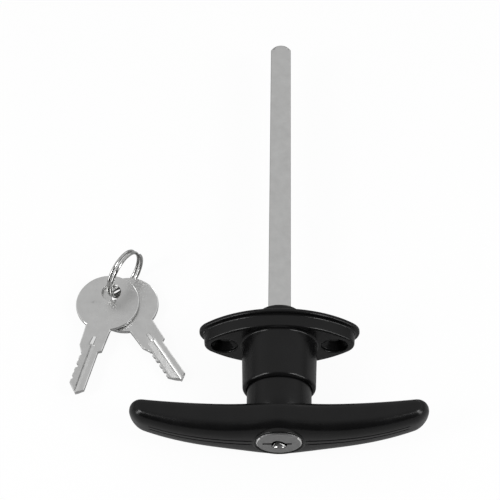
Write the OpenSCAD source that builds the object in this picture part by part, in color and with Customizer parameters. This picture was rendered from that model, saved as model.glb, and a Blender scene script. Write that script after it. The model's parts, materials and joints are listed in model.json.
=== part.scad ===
// Garage door T-handle lock: oval escutcheon, cast T-handle with a keyed wafer lock,
// square spindle, and two keys on a split ring lying beside it.
// Millimetres. +Y runs along the spindle into the door, -Y faces the user, Z is up.
// The origin is the centre of the two screw holes, on the face that meets the door.

/* [Spindle] */
// Width across the flats of the square spindle
spindle_w = 7.94; // [7:0.01:8.4]
// Reach of the spindle behind the door face
spindle_reach = 130; // [60:1:200]
// Radius along the four long edges
spindle_edge_r = 0.5; // [0.2:0.1:1]
// Radius of the turned end
spindle_end_r = 3.4; // [1.5:0.1:3.8]
// Diameter of the cross pin that holds the spindle in the shank
spindle_pin_d = 3; // [2:0.1:3.6]

/* [Escutcheon] */
// Length of the rim
flange_l = 56; // [52:0.5:70]
// Height of the rim
flange_h = 32; // [31:0.5:40]
// Radius of the rim's two ends
flange_end_r = 8; // [7:0.1:9.5]
// Thickness of the rim
rim_t = 1.4; // [1:0.1:2]
// Ledge from the rim's edge to the raised plate
rim_step = 1.6; // [1:0.1:2]
// Thickness from the door face to the plate's front
flange_t = 6; // [5.6:0.1:8]
// Radius of the plate's front edge
flange_edge_r = 0.8; // [0.4:0.1:1.2]
// Width of the wall round the cored back
back_wall = 3; // [2.4:0.1:3.6]
// Depth of the cored back
back_depth = 3.6; // [3.4:0.1:4.2]
// Distance between the two screw holes
screw_spacing = 38.1; // [37:0.1:41]
// Diameter of the screw holes
screw_d = 5.2; // [4:0.1:5.6]
// Diameter of the screw head's seat
screw_head_d = 9.4; // [8:0.1:9.8]
// Depth of the straight part of the seat
screw_head_t = 1.2; // [0.6:0.1:1.6]
// Diameter of the bosses behind the screw holes
screw_boss_d = 13; // [12.4:0.1:14]
// Diameter of the collar where it leaves the plate
collar_base_d = 26.1; // [25.6:0.1:27]
// Diameter of the collar near its front
collar_front_d = 25.1; // [24.8:0.1:26]
// Length of the collar in front of the plate
collar_l = 17.5; // [16:0.1:24]
// Radius of the collar's front edge
collar_edge_r = 1.4; // [0.5:0.1:1.5]
// Fillet between collar and plate
collar_fillet_r = 0.8; // [0.3:0.1:1]

/* [Handle] */
// Length of the T-bar
bar_l = 101; // [80:1:130]
// Front-to-back thickness of the T-bar at its middle
bar_t = 11.6; // [10.5:0.1:15]
// Height of the T-bar next to the hub
bar_mid_h = 18; // [14:0.5:20]
// Height of the T-bar at its tips
bar_tip_h = 11.8; // [9:0.1:14]
// Extra half height where the bar swells over the hub
hub_swell = 1.8; // [0.5:0.1:2.4]
// How far the front sweeps back towards the door at the tips
front_sweep = 8.2; // [4:0.1:9]
// How far the back sweeps towards the door at the tips
back_sweep = 3.2; // [0:0.1:5]
// Length of the rounded tips
tip_l = 5; // [4:0.1:12]
// Depth of the two grooves along each wing
groove_depth = 0.45; // [0.2:0.05:0.8]
// Diameter of the neck
neck_d = 22; // [21:0.1:22.6]
// Length of neck that shows between collar and bar
neck_show = 7.5; // [5:0.1:14]
// Length of neck inside the collar
neck_seat = 4.6; // [4:0.1:5.4]
// Diameter of the shank behind the neck
shank_d = 15.6; // [15.2:0.1:16.4]
// Length of shank behind the door face
shank_out = 6.5; // [5:0.1:20]
// Outer diameter of the raised bezel round the lock face
bezel_d = 17.8; // [17.2:0.1:19]
// Angle of the turn that the stop allows
handle_turn = 90; // [45:5:120]

/* [Lock cylinder] */
// Diameter of the lock face
face_d = 15.5; // [15:0.1:16]
// How far the lock face stands in front of the bar
face_proud = 0.25; // [0:0.05:0.8]
// Thickness of the plug's head
head_t = 1.8; // [1.2:0.1:2.4]
// Diameter of the plug's body
plug_d = 12.4; // [12:0.1:12.8]
// Outer diameter of the fixed sleeve
sleeve_d = 15.4; // [15:0.1:15.8]
// Distance from one wafer to the next
wafer_pitch = 2.4; // [2.2:0.05:2.8]
// Thickness of a wafer
wafer_t = 1; // [0.7:0.05:1.1]
// Width of a wafer
wafer_w = 6.2; // [6:0.1:6.4]
// How far a wafer springs out of the plug
wafer_travel = 0.8; // [0.4:0.05:0.8]
// Radius of the eccentric pin's path
cam_throw_r = 2; // [1.6:0.05:2.1]
// Diameter of the eccentric pin
cam_pin_d = 2.2; // [1.8:0.1:2.2]
// Thickness of the drive cam
cam_t = 2.8; // [2:0.1:3.2]
// Width of the locking bolt
bolt_w = 6.4; // [6.3:0.1:6.8]
// Thickness of the locking bolt along the shank
bolt_t = 3.2; // [2.6:0.1:3.6]

/* [Keys] */
// Thickness of the key stock
key_t = 1.4; // [1:0.1:1.5]
// Diameter of the key's head
key_head_d = 23; // [21:0.1:23.2]
// Diameter of the ring hole
key_hole_d = 6.9; // [6.8:0.1:7.2]
// Distance from ring hole to the head's centre
key_hole_in = 4.5; // [4.2:0.1:4.8]
// Width of the key's stem behind the shoulder
key_stem_w = 9.2; // [8:0.1:10]
// Distance from ring hole to the shoulder
key_shoulder = 24.3; // [22:0.1:28]
// Width of the blade
key_blade_w = 6; // [5.8:0.1:6.6]
// Length of the blade from shoulder to tip
key_blade_l = 18; // [16:0.1:20]
// Height of the pressed crease along the blade
crease_h = 1; // [0.6:0.1:1.1]
// Depth of one step of the key's cuts
cut_step = 0.3; // [0.2:0.05:0.35]
// Mean radius of the split ring
ring_r = 8.9; // [8.7:0.1:9.4]
// Thickness of the ring's wire
ring_wire = 1; // [0.8:0.1:1.1]
// Distance from one turn of the ring to the next
ring_pitch = 1.45; // [1.45:0.05:1.5]

/* [Fits] */
// Radial clearance of a turning fit
run_gap = 0.05; // [0.02:0.01:0.1]
// Gap round a fixed or pressed piece
seat_gap = 0.02; // [0.01:0.01:0.04]
// Clearance of a sliding piece in its slot
slide_gap = 0.08; // [0.05:0.01:0.12]
// Clearance between pieces that pass each other
pass_gap = 0.3; // [0.2:0.05:0.4]

/* [Hidden] */
$fn = 64;
BLACK = "#232325";
PLATED = "#b3b5b7";
ZINC = "#8c8f93";
BRASS = "#b89b5a";
SPRING_STEEL = "#9a9da1";
over = 1;

// Escutcheon: a four-arc oval, end arcs and side arcs tangent to each other
end_x = flange_l / 2 - flange_end_r;
half_h = flange_h / 2;
side_r = (end_x * end_x + half_h * half_h - flange_end_r * flange_end_r) / (2 * (half_h - flange_end_r));
end_phi = atan2(side_r - half_h, end_x);
plate_inset = rim_step + 0.3;
collar_base_r = collar_base_d / 2;
collar_front_r = collar_front_d / 2;
collar_front = -flange_t - collar_l;

// Levels along the spindle axis, from the door outwards
shoulder_y = collar_front + neck_seat;
bar_back = collar_front - neck_show;
bar_front = bar_back - bar_t;
face_y = bar_front - face_proud;
neck_r = neck_d / 2;
shank_r = shank_d / 2;

// Stop lug on the neck's shoulder, in an arc pocket of the collar
stop_l = 1.6;
stop_in_r = shank_r + 1.1;
stop_out_r = neck_r - 0.6;
stop_angle = 26;
stop_play = 1.5;

// Locking bolt, drive cam, plug and sleeve, one behind the other
bolt_wall = 0.8;
bolt_front = shoulder_y + stop_l + 0.2 + bolt_wall;
bolt_rear = bolt_front + bolt_t;
cam_rear = bolt_front - 0.4;
cam_front = cam_rear - cam_t;
cam_r = plug_d / 2;
clip_t = 0.6;
plug_rear = cam_front - 0.4;
clip_rear = plug_rear - 0.7;
sleeve_rear = clip_rear - clip_t - slide_gap;
sleeve_front = face_y + head_t;
cam_web = 1;
tail_w = 5;
bolt_throw = cam_throw_r * sqrt(2);
bolt_end = sqrt(shank_r * shank_r - bolt_w * bolt_w / 4) - 0.15;
bolt_foot = cam_throw_r * sqrt(1 / 2) + cam_pin_d / 2 + 1.9;
bolt_slot_gap = 0.12;
notch_r = bolt_end + bolt_throw + pass_gap;
spindle_front = bolt_rear + 1.2;

// Sleeve and wafers
plug_r = plug_d / 2;
face_r = face_d / 2;
sleeve_r = sleeve_d / 2;
wafer_r = plug_r - run_gap;
wafer_y0 = sleeve_front + 2.6;
wafer_floor = -crease_h - key_t / 2 - 0.4;
wafer_groove_r = wafer_r + wafer_travel + 0.2;
wafer_notch_x = -1;
window_gap = 0.05;
window_play = 0.4;
spring_x0 = -4.6;
spring_d = 0.9;
spring_wire = 0.2;
spring_turns = 4;
cut_codes = [2, 1, 3, 1, 2];
sleeve_pin_d = 1.6;
sleeve_pin_y = sleeve_rear - sleeve_pin_d / 2 - 0.5;
sleeve_pin_depth = 0.9;

// Retaining stack on the shank, in the cored back
washer_t = 0.8;
wave_t = 0.35;
wave_h = 0.9;
ring_t = 1;
washer_y = -back_depth + 0.03;
wave_y = washer_y + washer_t + wave_t / 2 + wave_h / 2 - wave_t / 2 + 0.03;
clip_ring_y = wave_y + wave_h / 2 + 0.08;
clip_groove_r = shank_r - 0.7;
washer_r = shank_r + 3.6;

// Keys on the floor level of the rim, held up a little by the ring
floor_z = -half_h;
ring_c = [-56.9, 27.3, floor_z + ring_r + ring_wire / 2];
ring_azimuth = 58.6;
ring_turns = 2;
ring_start = 20;
lower_key_z = floor_z + ring_wire + 1.05;
upper_key_z = lower_key_z + key_t + 0.2;
upper_key_at = [-6.8, 1.6];
upper_key_turn = -13.7;
lower_key_at = [-5.55, -1.5];
lower_key_turn = 34;
crease_half = 2.1;
crease_start = key_shoulder - 5.5;
crease_ramp = 2.4;
tip_side = 0.4;
tip_slope = 3.9;
first_cut = 2.6;
cut_pitch = wafer_pitch;

// General shapes

// Turns a profile drawn as [radius, y] about the spindle axis
module turned() {
    rotate([-90, 0, 0]) rotate_extrude() children();
}

// Turns a profile [radius, y] through part of a circle, counted from +X towards -Z
module part_turned(from, angle) {
    rotate([-90, 0, 0]) rotate(from) rotate_extrude(angle = angle) children();
}

// Extrudes a front view, drawn as [x, z], between two levels along Y
module along(y0, y1) {
    translate([0, y1, 0]) rotate([90, 0, 0]) linear_extrude(y1 - y0) children();
}

module rod(r, y0, y1) {
    translate([0, y0, 0]) rotate([-90, 0, 0]) cylinder(h = y1 - y0, r = r);
}

module block(x0, x1, y0, y1, z0, z1) {
    translate([x0, y0, z0]) cube([x1 - x0, y1 - y0, z1 - z0]);
}

module round_square(w, r) {
    square([w, w - 2 * r], center = true);
    square([w - 2 * r, w], center = true);
    for (sx = [-1, 1], sz = [-1, 1]) translate([sx * (w / 2 - r), sz * (w / 2 - r)]) circle(r);
}

// Triangles between the rings of a loft; ring points run round, rings run along
function loft_faces(rings, sides) = [
    for (i = [0 : rings - 2], j = [0 : sides - 1], half = [0, 1])
        let (a = i * sides + j, b = i * sides + (j + 1) % sides, c = a + sides, d = b + sides)
            half == 0 ? [a, b, d] : [a, d, c]
];
function loft_caps(rings, sides) = [
    [for (j = [sides - 1 : -1 : 0]) j],
    [for (j = [0 : sides - 1]) (rings - 1) * sides + j]
];
// Fans that close a loft on one last point at each end, kept after the rings' points
function loft_fans(rings, sides) = [
    for (j = [0 : sides - 1], end = [0, 1])
        let (k = (j + 1) % sides, last = (rings - 1) * sides)
            end == 0 ? [rings * sides, k, j] : [rings * sides + 1, last + j, last + k]
];

// A wire wound round the Z axis: points of its rings, and the least gap between neighbouring turns
function coil_rings(turns, per_turn) = round(turns * per_turn) + 1;
function coil_point(r, pitch, turns, per_turn, i) =
    let (turn = i / per_turn) [r * cos(360 * turn), r * sin(360 * turn), pitch * (turn - turns / 2)];
function coil_points(r, wire, pitch, turns, per_turn, sides) = [
    for (i = [0 : coil_rings(turns, per_turn) - 1], j = [0 : sides - 1])
        let (turn = i / per_turn, a = 360 * j / sides, q = r + wire / 2 * cos(a))
            [q * cos(360 * turn), q * sin(360 * turn), pitch * (turn - turns / 2) + wire / 2 * sin(a)]
];
function coil_gap(r, wire, pitch, turns, per_turn) = min([
    for (i = [0 : coil_rings(turns, per_turn) - 1 - per_turn])
        norm(coil_point(r, pitch, turns, per_turn, i + per_turn)
            - coil_point(r, pitch, turns, per_turn, i)) - wire
]);
module coil(r, wire, pitch, turns, per_turn, sides) {
    rings = coil_rings(turns, per_turn);
    polyhedron(coil_points(r, wire, pitch, turns, per_turn, sides),
        concat(loft_faces(rings, sides), loft_caps(rings, sides)), convexity = 6);
}
echo(split_ring_gap = coil_gap(ring_r, ring_wire, ring_pitch, ring_turns, 24));

// Escutcheon

// Half of the oval's outline, inset: points along one end arc, then along one side arc
end_steps = 14;
side_steps = 20;
function oval_half(inset) = concat(
    [for (k = [0 : end_steps]) let (a = end_phi * (2 * k / end_steps - 1))
        [end_x + (flange_end_r - inset) * cos(a), (flange_end_r - inset) * sin(a)]],
    [for (k = [1 : side_steps - 1]) let (a = end_phi + (180 - 2 * end_phi) * k / side_steps)
        [(side_r - inset) * cos(a), half_h - side_r + (side_r - inset) * sin(a)]]
);
function oval_points(inset) = concat(oval_half(inset), [for (p = oval_half(inset)) -p]);

// Section of rim and raised plate as [inset, y], from the front to the door, with a rounded edge each
rim_r = rim_t * 0.45;
round_steps = [90, 60, 30, 0];
flange_section = concat(
    [for (a = round_steps)
        [plate_inset + flange_edge_r * (1 - cos(a)), -flange_t + flange_edge_r * (1 - sin(a))]],
    [[rim_step, -rim_t]],
    [for (a = round_steps) [rim_r * (1 - cos(a)), -rim_t + rim_r * (1 - sin(a))]],
    [[0, 0]]
);
flange_points = concat(
    [for (c = flange_section, p = oval_points(c[0])) [p[0], c[1], p[1]]],
    [[0, -flange_t, 0], [0, 0, 0]]
);

module flange() {
    rings = len(flange_section);
    sides = len(oval_points(0));
    polyhedron(flange_points, concat(loft_faces(rings, sides), loft_fans(rings, sides)), convexity = 4);
}

module back_core() {
    along(-back_depth, over) polygon(oval_points(back_wall));
}

module collar_profile() {
    straight_end = collar_front + collar_edge_r;
    polygon([[0, -back_depth], [collar_base_r, -back_depth], [collar_base_r, -flange_t],
        [collar_front_r, straight_end], [0, straight_end]]);
    translate([0, collar_front]) square([collar_front_r - collar_edge_r, collar_edge_r + 0.1]);
    translate([collar_front_r - collar_edge_r, straight_end]) circle(collar_edge_r);
    difference() {
        translate([collar_base_r - 0.2, -flange_t - collar_fillet_r])
            square([collar_fillet_r + 0.2, collar_fillet_r + 0.1]);
        translate([collar_base_r + collar_fillet_r, -flange_t - collar_fillet_r]) circle(collar_fillet_r);
    }
}

module screw_hole() {
    head_r = screw_head_d / 2;
    hole_r = screw_d / 2;
    rod(hole_r, -flange_t - over, over);
    turned() polygon([[0, -flange_t - over], [head_r, -flange_t - over], [head_r, -flange_t + screw_head_t],
        [hole_r, -flange_t + screw_head_t + head_r - hole_r],
        [0, -flange_t + screw_head_t + head_r - hole_r]]);
}

module bolt_notches() {
    half_w = bolt_w / 2 + slide_gap;
    for (q = [0 : 3]) rotate([0, 90 * q, 0])
        block(-half_w, half_w, bolt_front - slide_gap, bolt_rear + slide_gap, 0, notch_r);
}

module stop_pocket() {
    part_turned(90 - stop_angle / 2 - stop_play, handle_turn + stop_angle + 2 * stop_play)
        translate([stop_in_r - 0.2, shoulder_y - over])
            square([stop_out_r - stop_in_r + 0.4, stop_l + 0.2 + over]);
}

module escutcheon() {
    color(BLACK) difference() {
        union() {
            difference() {
                flange();
                back_core();
            }
            for (s = [-1, 1])
                translate([s * screw_spacing / 2, 0, 0]) rod(screw_boss_d / 2, -flange_t + 1, 0);
            turned() collar_profile();
        }
        for (s = [-1, 1]) translate([s * screw_spacing / 2, 0, 0]) screw_hole();
        rod(neck_r + run_gap, collar_front - over, shoulder_y + run_gap);
        rod(shank_r + run_gap, collar_front, over);
        bolt_notches();
        stop_pocket();
    }
}

// Handle

bar_half = bar_l / 2;
groove_from = bezel_d / 2 + 0.4;
groove_to = bar_half - 6.5;
groove_fade = 2;

function bar_u(x) = abs(x) / bar_half;
function bar_front_at(x) = bar_front + front_sweep * pow(bar_u(x), 2.6);
function bar_back_at(x) = bar_back + back_sweep * pow(bar_u(x), 2);
function hub_bump(x) = hub_swell * exp(-pow(x / neck_r, 2));
function bar_half_h(x) = (bar_mid_h + (bar_tip_h - bar_mid_h) * bar_u(x)) / 2 + hub_bump(x);
function tip_round(x) = sqrt(max(0, 1 - pow(max(0, (abs(x) - bar_half + tip_l) / tip_l), 2.2)));
function ramp(v) = min(1, max(0, v));
function groove_at(x) =
    groove_depth * ramp((abs(x) - groove_from) / 0.6) * ramp((groove_to - abs(x)) / groove_fade);

// Squared oval section: angles round its upper half from front to back, denser at the groove
groove_lo = 0.1;
groove_hi = 0.18;
groove_mid = (groove_lo + groove_hi) / 2;
section_angles = concat(
    [for (f = [0, 0.06, groove_lo, groove_mid, groove_hi, 0.3, 0.5]) asin(f * f)],
    [for (a = [24, 36, 47, 58, 69, 80, 90, 100, 111, 122, 133, 146, 160, 180]) a]
);
upper_count = len(section_angles);
section_count = 2 * upper_count - 2;
function section_angle(j) = j < upper_count ? section_angles[j] : -section_angles[section_count - j];
function root_of(v) = sign(v) * sqrt(abs(v));
function bar_point(x, j) =
    let (
        a = section_angle(j),
        s = tip_round(x),
        front = bar_front_at(x),
        back = bar_back_at(x),
        half_t = (back - front) / 2 * s,
        groove = j == 3 || j == section_count - 3 ? groove_at(x) : 0
    )
    [x, (front + back) / 2 - half_t * root_of(cos(a)) + groove, bar_half_h(x) * s * root_of(sin(a))];

// Stations along the bar, closer together at the tips and over the hub
station_count = 22;
function station(i) = let (u = abs(i) / station_count) sign(i) * bar_half * 0.999 * (1 - pow(1 - u, 1.7));
tip_y = (bar_front_at(bar_half) + bar_back_at(bar_half)) / 2;
bar_points = concat(
    [for (i = [-station_count : station_count], j = [0 : section_count - 1]) bar_point(station(i), j)],
    [[-bar_half, tip_y, 0], [bar_half, tip_y, 0]]
);

module t_bar() {
    rings = 2 * station_count + 1;
    polyhedron(bar_points, concat(loft_faces(rings, section_count), loft_fans(rings, section_count)),
        convexity = 6);
}

module bezel_profile() {
    bezel_r = bezel_d / 2;
    edge_r = 0.45;
    translate([0, face_y + 0.1]) {
        square([bezel_r - edge_r, bar_t / 2]);
        translate([0, edge_r]) square([bezel_r, bar_t / 2 - edge_r]);
        translate([bezel_r - edge_r, edge_r]) circle(edge_r);
    }
}

module shank_profile() {
    edge_r = 1;
    translate([0, bar_back - bar_t * 0.4]) square([neck_r, shoulder_y - bar_back + bar_t * 0.4]);
    translate([0, shoulder_y - over]) square([shank_r, over + shank_out - shoulder_y - edge_r]);
    translate([0, shank_out - edge_r - 0.1]) square([shank_r - edge_r, edge_r + 0.1]);
    translate([shank_r - edge_r, shank_out - edge_r]) circle(edge_r);
}

module handle_bores() {
    rod(face_r + run_gap, face_y - over, sleeve_front);
    rod(sleeve_r + seat_gap, sleeve_front - 0.1, plug_rear);
    rod(cam_r + pass_gap, plug_rear - 0.1, bolt_front - 0.2);
    rod(cam_throw_r + cam_pin_d / 2 + 0.2, bolt_front - 0.3, bolt_rear);
    block(-bolt_w / 2 - slide_gap, bolt_w / 2 + slide_gap, bolt_front - slide_gap, bolt_rear + slide_gap,
        -bolt_foot - pass_gap, shank_d);
    along(spindle_front, shank_out + over) square(spindle_w + 2 * seat_gap, center = true);
    translate([0, sleeve_pin_y, -neck_d]) cylinder(h = neck_d, r = sleeve_pin_d / 2 + seat_gap);
    translate([-shank_d, shank_out / 2, 0]) rotate([0, 90, 0])
        cylinder(h = 2 * shank_d, r = spindle_pin_d / 2 + seat_gap);
    turned() translate([clip_groove_r, clip_ring_y - slide_gap / 2]) square([shank_d, ring_t + slide_gap]);
}

module handle() {
    color(BLACK) difference() {
        union() {
            t_bar();
            turned() bezel_profile();
            turned() shank_profile();
            part_turned(90 - stop_angle / 2, stop_angle)
                translate([stop_in_r, shoulder_y - over]) square([stop_out_r - stop_in_r, stop_l + over]);
        }
        handle_bores();
    }
}

// Spindle and the pieces on the shank

// The round tool path that the square bar is turned to at its end
module spindle_envelope() {
    straight_end = spindle_reach - spindle_end_r;
    flat_r = spindle_w / 2 + 0.6 - spindle_end_r;
    translate([0, spindle_front]) square([spindle_w, straight_end - spindle_front]);
    intersection() {
        translate([flat_r, straight_end]) circle(spindle_end_r);
        translate([0, straight_end - 0.1]) square(spindle_w);
    }
    translate([0, straight_end - 0.1]) square([flat_r, spindle_end_r + 0.1]);
}

module spindle() {
    color(PLATED) difference() {
        intersection() {
            along(spindle_front + seat_gap, spindle_reach) round_square(spindle_w, spindle_edge_r);
            turned() spindle_envelope();
        }
        translate([-spindle_w, shank_out / 2, 0]) rotate([0, 90, 0])
            cylinder(h = 2 * spindle_w, r = spindle_pin_d / 2 + seat_gap);
    }
}

module spindle_pin() {
    half_l = sqrt(shank_r * shank_r - spindle_pin_d * spindle_pin_d / 4);
    color(SPRING_STEEL) translate([-half_l, shank_out / 2, 0]) rotate([0, 90, 0])
        cylinder(h = 2 * half_l, r = spindle_pin_d / 2);
}

module retaining_ring() {
    lug_r = 1.7;
    lug_at = shank_r + lug_r + 0.2;
    lug_angle = 20;
    color(SPRING_STEEL) along(clip_ring_y, clip_ring_y + ring_t) difference() {
        union() {
            circle(shank_r + 1.5);
            for (s = [-1, 1]) rotate(90 + s * lug_angle) translate([lug_at, 0]) circle(lug_r);
        }
        circle(clip_groove_r + seat_gap);
        for (s = [-1, 1]) rotate(90 + s * lug_angle) translate([lug_at, 0]) circle(lug_r * 0.45);
        polygon([[0, 0], [-shank_d * tan(lug_angle * 0.45), shank_d],
            [shank_d * tan(lug_angle * 0.45), shank_d]]);
    }
}

// A flat ring bent into three waves
wave_stations = 36;
wave_section = [[0, -1], [1, -1], [1, 1], [0, 1]];
wave_points = [
    for (i = [0 : wave_stations - 1], c = wave_section)
        let (
            a = 360 * i / wave_stations,
            r = shank_r + 0.4 + c[0] * 2.4,
            lift = (wave_h - wave_t) / 2 * cos(3 * a)
        )
        [r * cos(a), lift + c[1] * wave_t / 2, r * sin(a)]
];
wave_faces = [
    for (i = [0 : wave_stations - 1], j = [0 : 3], half = [0, 1])
        let (a = i * 4 + j, b = i * 4 + (j + 1) % 4, n = 4 * wave_stations, c = (a + 4) % n, d = (b + 4) % n)
            half == 0 ? [a, b, d] : [a, d, c]
];
module wave_washer() {
    color(SPRING_STEEL) translate([0, wave_y, 0]) polyhedron(wave_points, wave_faces, convexity = 4);
}

module thrust_washer() {
    color(ZINC) along(washer_y, washer_y + washer_t) difference() {
        circle(washer_r);
        circle(shank_r + 0.2);
    }
}

// Lock cylinder

// Section of the blade and of the keyway: flat arms with a pressed crease between them
module key_section(gap) {
    w = key_blade_w / 2 + gap;
    lo = -key_t / 2 - gap;
    hi = key_t / 2 + gap;
    polygon([[-w, lo], [-crease_half + gap, lo], [0, lo + crease_h], [crease_half - gap, lo], [w, lo],
        [w, hi], [crease_half + gap, hi], [0, hi + crease_h], [-crease_half - gap, hi], [-w, hi]]);
}

function wafer_y(i) = wafer_y0 + i * wafer_pitch;

// Front view of a wafer's body, cut back at one corner for its spring
module wafer_plate() {
    intersection() {
        circle(wafer_r);
        difference() {
            square([plug_d + 2, wafer_w], center = true);
            translate([-plug_d, -wafer_w]) square([plug_d + wafer_notch_x, wafer_w + wafer_floor]);
        }
    }
}

// With the key in, the left side of each window rests on that wafer's cut and the wafer lies flush
module wafer(i) {
    window_x = -key_blade_w / 2 + cut_codes[i] * cut_step - window_gap;
    color(BRASS) along(wafer_y(i), wafer_y(i) + wafer_t) difference() {
        wafer_plate();
        translate([window_x, -key_t / 2 - 0.2])
            square([key_blade_w / 2 + window_play - window_x, key_t + crease_h + 0.5]);
    }
}

module wafer_slot(i) {
    along(wafer_y(i) - slide_gap / 2, wafer_y(i) + wafer_t + slide_gap / 2) difference() {
        square([plug_d + 2, wafer_w + 2 * slide_gap], center = true);
        translate([-plug_d, -wafer_w]) square([plug_d + spring_x0, wafer_w + wafer_floor - slide_gap]);
    }
}

module plug() {
    edge = 0.5;
    color(ZINC) difference() {
        union() {
            turned() polygon([[0, face_y], [face_r - edge, face_y], [face_r, face_y + edge],
                [face_r, sleeve_front - seat_gap], [plug_r, sleeve_front - seat_gap], [plug_r, plug_rear],
                [0, plug_rear]]);
            along(plug_rear - 0.1, cam_rear - cam_web - 0.1) square(tail_w, center = true);
        }
        along(face_y - over, plug_rear - 1.8) key_section(0.12);
        along(face_y - over, face_y + 0.4) square([key_blade_w + 3.6, 0.9], center = true);
        for (i = [0 : 4]) wafer_slot(i);
        turned() translate([plug_r - 1, clip_rear - clip_t - slide_gap])
            square([plug_d, clip_t + 2 * slide_gap]);
    }
}

module plug_clip() {
    half_open = 32;
    color(SPRING_STEEL) along(clip_rear - clip_t, clip_rear) difference() {
        circle(sleeve_r - 0.4);
        circle(plug_r - 1 + seat_gap);
        polygon([[0, 0], [-plug_d * tan(half_open), -plug_d], [plug_d * tan(half_open), -plug_d]]);
    }
}

module wafer_spring(i) {
    length = wafer_notch_x - spring_x0 - 0.1;
    pitch = (length - spring_wire) / spring_turns;
    color(SPRING_STEEL)
        translate([spring_x0 + 0.05 + length / 2, wafer_y(i) + wafer_t / 2,
                wafer_floor - spring_d / 2 - 0.12])
            rotate([0, 90, 0]) coil(spring_d / 2 - spring_wire / 2, spring_wire, pitch, spring_turns, 8, 6);
}

module lock_sleeve() {
    groove_w = wafer_w + 0.3;
    color(BRASS) difference() {
        rod(sleeve_r, sleeve_front, sleeve_rear);
        rod(plug_r + run_gap, sleeve_front - over, sleeve_rear + over);
        for (q = [0 : 1]) rotate([0, 90 * q, 0])
            along(sleeve_front + 1.2, sleeve_rear + over) intersection() {
                circle(wafer_groove_r);
                square([sleeve_d, groove_w], center = true);
            }
        translate([0, sleeve_pin_y, -sleeve_r - over])
            cylinder(h = over + sleeve_pin_depth, r = sleeve_pin_d / 2 + seat_gap);
    }
}

module sleeve_pin() {
    inner = sleeve_r - sleeve_pin_depth + seat_gap;
    outer = sqrt(neck_r * neck_r - sleeve_pin_d * sleeve_pin_d / 4);
    color(SPRING_STEEL) translate([0, sleeve_pin_y, -outer])
        cylinder(h = outer - inner, r = sleeve_pin_d / 2);
}

// The eccentric pin starts at the lower left and ends at the upper left after a quarter turn
module drive_cam() {
    pin_at = -cam_throw_r * sqrt(1 / 2);
    color(ZINC) {
        difference() {
            rod(cam_r, cam_front, cam_rear);
            along(cam_front - over, cam_rear - cam_web) square(tail_w + 2 * seat_gap, center = true);
        }
        translate([pin_at, 0, pin_at]) rod(cam_pin_d / 2, cam_rear - cam_web / 2, bolt_rear - 0.2);
    }
}

module locking_bolt() {
    slot_half = cam_pin_d / 2 + bolt_slot_gap;
    slot_z = -cam_throw_r * sqrt(1 / 2);
    slot_x = slot_z + slot_half;
    lead = 0.6;
    color(PLATED) along(bolt_front, bolt_rear) difference() {
        polygon([[-bolt_w / 2, -bolt_foot], [bolt_w / 2, -bolt_foot], [bolt_w / 2, bolt_end - lead],
            [bolt_w / 2 - lead, bolt_end], [-bolt_w / 2 + lead, bolt_end], [-bolt_w / 2, bolt_end - lead]]);
        translate([-bolt_w, slot_z - slot_half]) square([bolt_w + slot_x, 2 * slot_half]);
    }
}

// Keys and ring

module key_outline() {
    stem = key_stem_w / 2;
    blade = key_blade_w / 2;
    tip_y = -key_shoulder - key_blade_l;
    difference() {
        union() {
            translate([0, -key_hole_in]) circle(key_head_d / 2);
            polygon([[-stem - 0.6, -key_hole_in], [-stem + 0.2, -key_shoulder + 1],
                [-blade, -key_shoulder - 1.6], [-blade, tip_y + tip_slope], [tip_side, tip_y],
                [blade, tip_y + 2], [blade, -key_shoulder - 0.6],
                [stem - 0.4, -key_shoulder + 0.1], [stem + 0.3, -key_hole_in]]);
        }
        circle(key_hole_d / 2);
        for (i = [0 : 4]) translate([-blade, -key_shoulder - first_cut - i * cut_pitch])
            polygon([[-1, -1.5], [cut_codes[i] * cut_step, -0.4], [cut_codes[i] * cut_step, 0.4], [-1, 1.5]]);
    }
}

// Side view of the crease, with a ramp at its start
module crease_side(base) {
    end = key_shoulder + key_blade_l + over;
    rotate([90, 0, 90]) linear_extrude(key_stem_w, center = true)
        polygon([[-crease_start, base - over], [-crease_start, base],
            [-crease_start - crease_ramp, base + crease_h],
            [-end, base + crease_h], [-end, base - over]]);
}

module crease_prism(base) {
    intersection() {
        translate([0, 0, base]) rotate([90, 0, 0]) linear_extrude(key_shoulder + key_blade_l + over)
            polygon([[-crease_half, -0.3], [crease_half, -0.3], [crease_half, 0], [0, crease_h],
                [-crease_half, 0]]);
        crease_side(base);
    }
}

// A key lying flat, ring hole at the origin, tip towards -Y
module key() {
    difference() {
        intersection() {
            linear_extrude(key_t + crease_h) key_outline();
            union() {
                translate([0, 0, key_t / 2]) cube([2 * key_head_d, 4 * key_head_d, key_t], center = true);
                crease_prism(key_t);
            }
        }
        crease_prism(0);
    }
}

// Places a piece in the ring's own axes: along the ring's plane, then across it
module at_ring(p, z) {
    translate([ring_c[0], ring_c[1], z]) rotate(ring_azimuth) translate([p[0], p[1], 0]) rotate(-ring_azimuth)
        children();
}

module upper_key() {
    color(PLATED) at_ring(upper_key_at, upper_key_z) rotate(upper_key_turn) key();
}

module lower_key() {
    color(PLATED) at_ring(lower_key_at, lower_key_z) rotate(lower_key_turn) key();
}

module split_ring() {
    color(PLATED) translate(ring_c) rotate([90, 0, ring_azimuth]) rotate(ring_start)
        coil(ring_r, ring_wire, ring_pitch, ring_turns, 24, 6);
}

escutcheon();
handle();
spindle();
spindle_pin();
retaining_ring();
wave_washer();
thrust_washer();
lock_sleeve();
sleeve_pin();
plug();
plug_clip();
drive_cam();
wafer(0);  // wafer_1
wafer(1);  // wafer_2
wafer(2);  // wafer_3
wafer(3);  // wafer_4
wafer(4);  // wafer_5
wafer_spring(0);  // wafer_spring_1
wafer_spring(1);  // wafer_spring_2
wafer_spring(2);  // wafer_spring_3
wafer_spring(3);  // wafer_spring_4
wafer_spring(4);  // wafer_spring_5
locking_bolt();
split_ring();
upper_key();
lower_key();
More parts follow.
